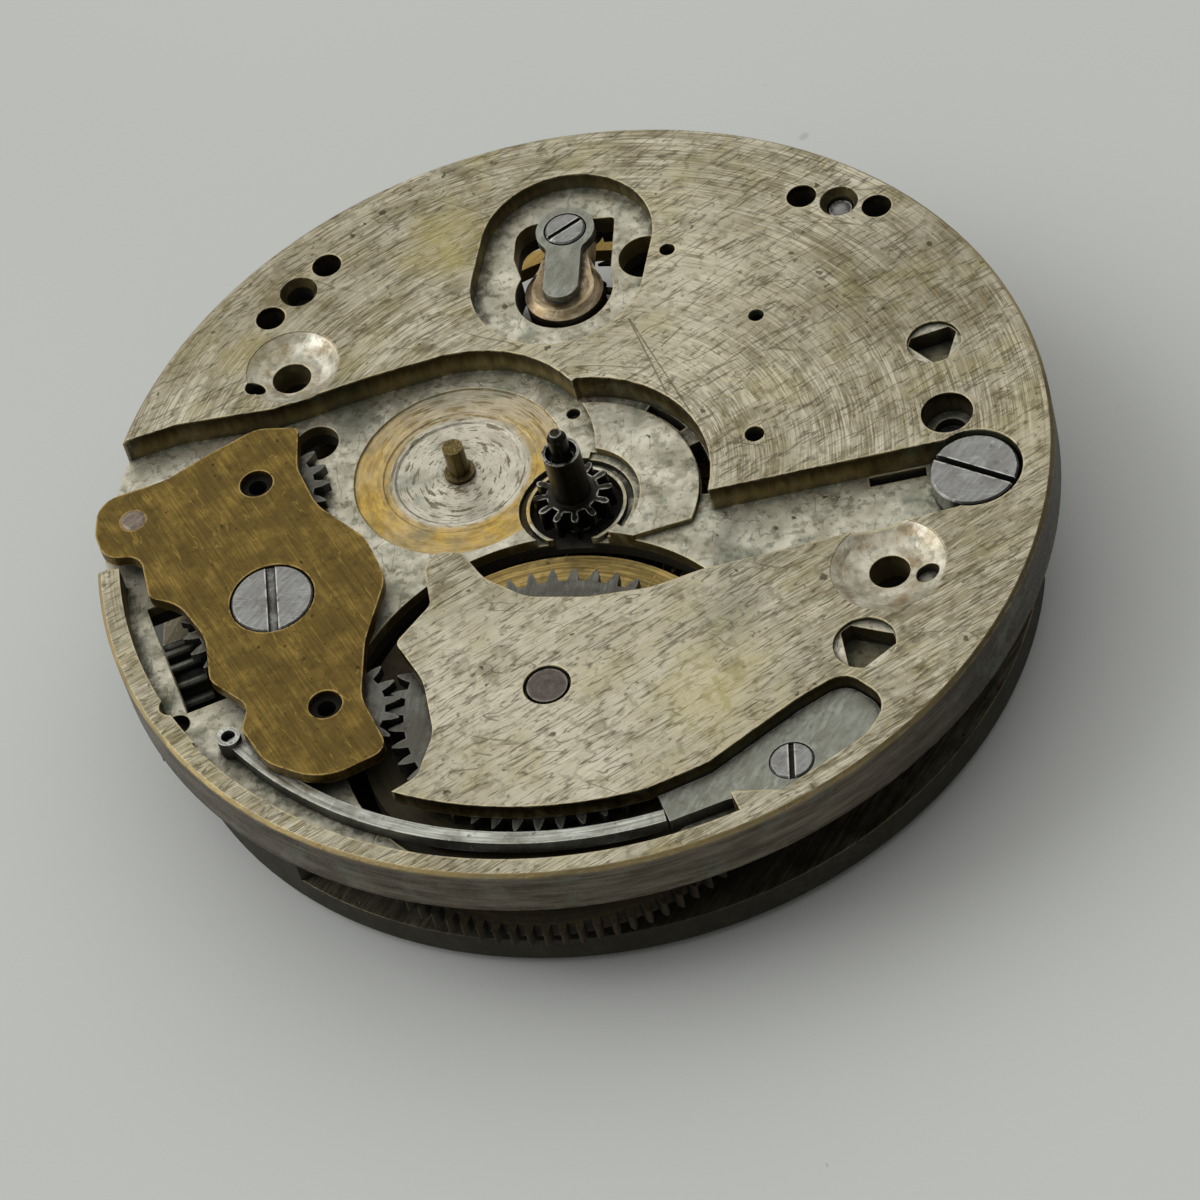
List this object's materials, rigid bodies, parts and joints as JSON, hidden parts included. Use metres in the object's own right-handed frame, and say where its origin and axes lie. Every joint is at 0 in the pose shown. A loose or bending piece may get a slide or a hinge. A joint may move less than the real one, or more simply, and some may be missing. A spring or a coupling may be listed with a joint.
{
  "type": "pocket watch movement",
  "caption": "Stem-wound, pin-set pocket watch movement seen from its dial side: rocking-bar winding work, going barrel, wheel train, cylinder escapement and balance.",
  "frame": {"origin": "on the axis of the centre wheel and cannon pinion, in the plane of the main plate's dial face", "axes": "+Z out of the dial face towards the dial; -X along the winding stem's axis, out of the movement"},
  "size_m": [0.0406, 0.0406, 0.0112],
  "materials": {
    "nickel_plate": "brushed nickel plating over brass, worn and spotted",
    "nickel_bridge": "grained nickel plating over brass",
    "old_brass": "aged straight-grained brass",
    "barrel_brass": "turned brass, spotted",
    "wheel_brass": "stamped and polished brass",
    "dark_steel": "dark blackened steel",
    "wheel_steel": "grey ground steel",
    "screw_steel": "polished steel, worn slots",
    "spring_steel": "ground spring steel",
    "blued_steel": "blued steel",
    "ruby": "polished synthetic ruby"
  },
  "bodies": {
    "movement": {"main_plate": "nickel_plate", "minute_wheel_stud": "old_brass", "bar_pivot_screw": "screw_steel", "bar_spring_foot": "spring_steel", "bar_spring_screw": "screw_steel", "case_screw": "screw_steel", "click_stud": "wheel_steel", "click_spring": "spring_steel", "balance_chariot": "barrel_brass", "chariot_screw": "screw_steel", "balance_endpiece": "spring_steel", "endpiece_screw": "screw_steel", "balance_jewels": "ruby", "train_jewels": "ruby", "hairspring": "blued_steel", "hairspring_stud": "screw_steel", "cock_endpiece": "spring_steel", "balance_cock": "nickel_bridge", "cock_screw": "screw_steel", "escape_cock": "nickel_bridge", "escape_cock_screw": "screw_steel", "train_bridge": "nickel_bridge", "train_bridge_screws": "screw_steel", "barrel_bridge": "nickel_bridge", "barrel_bridge_screws": "screw_steel", "steady_pins": "barrel_brass"},
    "barrel": {"barrel_drum": "barrel_brass", "barrel_lid": "barrel_brass", "mainspring": "spring_steel"},
    "winding_arbor": {"barrel_arbor": "wheel_steel", "ratchet_wheel": "wheel_steel"},
    "bar": {"rocking_bar": "old_brass", "bar_push_pin": "screw_steel", "winding_stud": "wheel_steel", "setting_stud": "wheel_steel"},
    "crown": {"crown_wheel": "wheel_steel"},
    "winding_satellite": {"winding_wheel": "wheel_steel"},
    "setting_satellite": {"setting_wheel": "wheel_steel"},
    "pinion": {"winding_pinion": "wheel_steel"},
    "bar_spring": {"bar_spring_blade": "spring_steel"},
    "click_body": {"click": "wheel_steel"},
    "centre": {"centre_arbor": "dark_steel", "centre_wheel": "wheel_brass"},
    "cannon": {"cannon_pinion": "dark_steel"},
    "third": {"third_wheel": "wheel_brass", "third_pinion": "wheel_steel"},
    "fourth": {"fourth_wheel": "wheel_brass", "fourth_pinion": "wheel_steel"},
    "escape": {"escape_wheel": "wheel_steel", "escape_pinion": "wheel_steel"},
    "balance": {"balance_wheel": "wheel_brass", "balance_staff": "wheel_steel"},
    "regulator_body": {"regulator": "spring_steel"}
  },
  "joints": [
    {"name": "fourth_turn", "type": "hinge", "parent": "movement", "child": "fourth", "pos_m": [0.01019, 0.00506, 0], "axis": [0, 0, 1], "continuous": true},
    {"name": "third_turn", "type": "hinge", "parent": "movement", "child": "third", "pos_m": [0.00787, -0.00118, 0], "axis": [0, 0, 1], "continuous": true},
    {"name": "centre_turn", "type": "hinge", "parent": "movement", "child": "centre", "pos_m": [0, 0, 0], "axis": [0, 0, 1], "continuous": true},
    {"name": "barrel_turn", "type": "hinge", "parent": "movement", "child": "barrel", "pos_m": [-0.0043, -0.0098, 0], "axis": [0, 0, 1], "continuous": true},
    {"name": "escape_turn", "type": "hinge", "parent": "movement", "child": "escape", "pos_m": [0.00804, 0.01052, 0], "axis": [0, 0, 1], "continuous": true},
    {"name": "cannon_slip", "type": "hinge", "parent": "centre", "child": "cannon", "pos_m": [0, 0, 0], "axis": [0, 0, 1], "continuous": true},
    {"name": "balance_swing", "type": "hinge", "parent": "movement", "child": "balance", "pos_m": [0.00335, 0.0113, 0], "axis": [0, 0, 1], "range_deg": [-150, 150], "deforming": ["hairspring"]},
    {"name": "regulator_turn", "type": "hinge", "parent": "movement", "child": "regulator_body", "pos_m": [0.00335, 0.0113, 0], "axis": [0, 0, 1], "range_deg": [-20, 20]},
    {"name": "arbor_turn", "type": "hinge", "parent": "movement", "child": "winding_arbor", "pos_m": [-0.0043, -0.0098, 0], "axis": [0, 0, 1], "continuous": true},
    {"name": "bar_rock", "type": "hinge", "parent": "movement", "child": "bar", "pos_m": [-0.0133, 0, 0], "axis": [0, 0, 1], "range_deg": [-6, 0]},
    {"name": "crown_turn", "type": "hinge", "parent": "bar", "child": "crown", "pos_m": [-0.0133, 0, 0], "axis": [0, 0, 1], "continuous": true},
    {"name": "winding_wheel_turn", "type": "hinge", "parent": "bar", "child": "winding_satellite", "pos_m": [-0.01291, -0.00648, 0], "axis": [0, 0, 1], "continuous": true},
    {"name": "setting_wheel_turn", "type": "hinge", "parent": "bar", "child": "setting_satellite", "pos_m": [-0.01209, 0.00638, 0], "axis": [0, 0, 1], "continuous": true},
    {"name": "winding_pinion_turn", "type": "hinge", "parent": "movement", "child": "pinion", "pos_m": [-0.0173, 0, -0.0031], "axis": [1, 0, 0], "continuous": true},
    {"name": "bar_spring_bend", "type": "hinge", "parent": "movement", "child": "bar_spring", "pos_m": [-0.00125, -0.01791, 0], "axis": [0, 0, 1], "range_deg": [0, 2.7]},
    {"name": "click_lift", "type": "hinge", "parent": "movement", "child": "click_body", "pos_m": [0.00364, -0.01269, 0], "axis": [0, 0, -1], "range_deg": [0, 6]}
  ],
  "couplings": [
    {"joint": "third_turn", "follows": "fourth_turn", "ratio": -0.13333},
    {"joint": "centre_turn", "follows": "fourth_turn", "ratio": 0.016667},
    {"joint": "barrel_turn", "follows": "fourth_turn", "ratio": -0.002381},
    {"joint": "escape_turn", "follows": "fourth_turn", "ratio": -10},
    {"joint": "crown_turn", "follows": "arbor_turn", "ratio": 1.7308},
    {"joint": "winding_wheel_turn", "follows": "arbor_turn", "ratio": -2.3684},
    {"joint": "setting_wheel_turn", "follows": "arbor_turn", "ratio": -2.3684},
    {"joint": "winding_pinion_turn", "follows": "arbor_turn", "ratio": 3.4615},
    {"joint": "bar_spring_bend", "follows": "bar_rock", "ratio": -0.45}
  ]
}
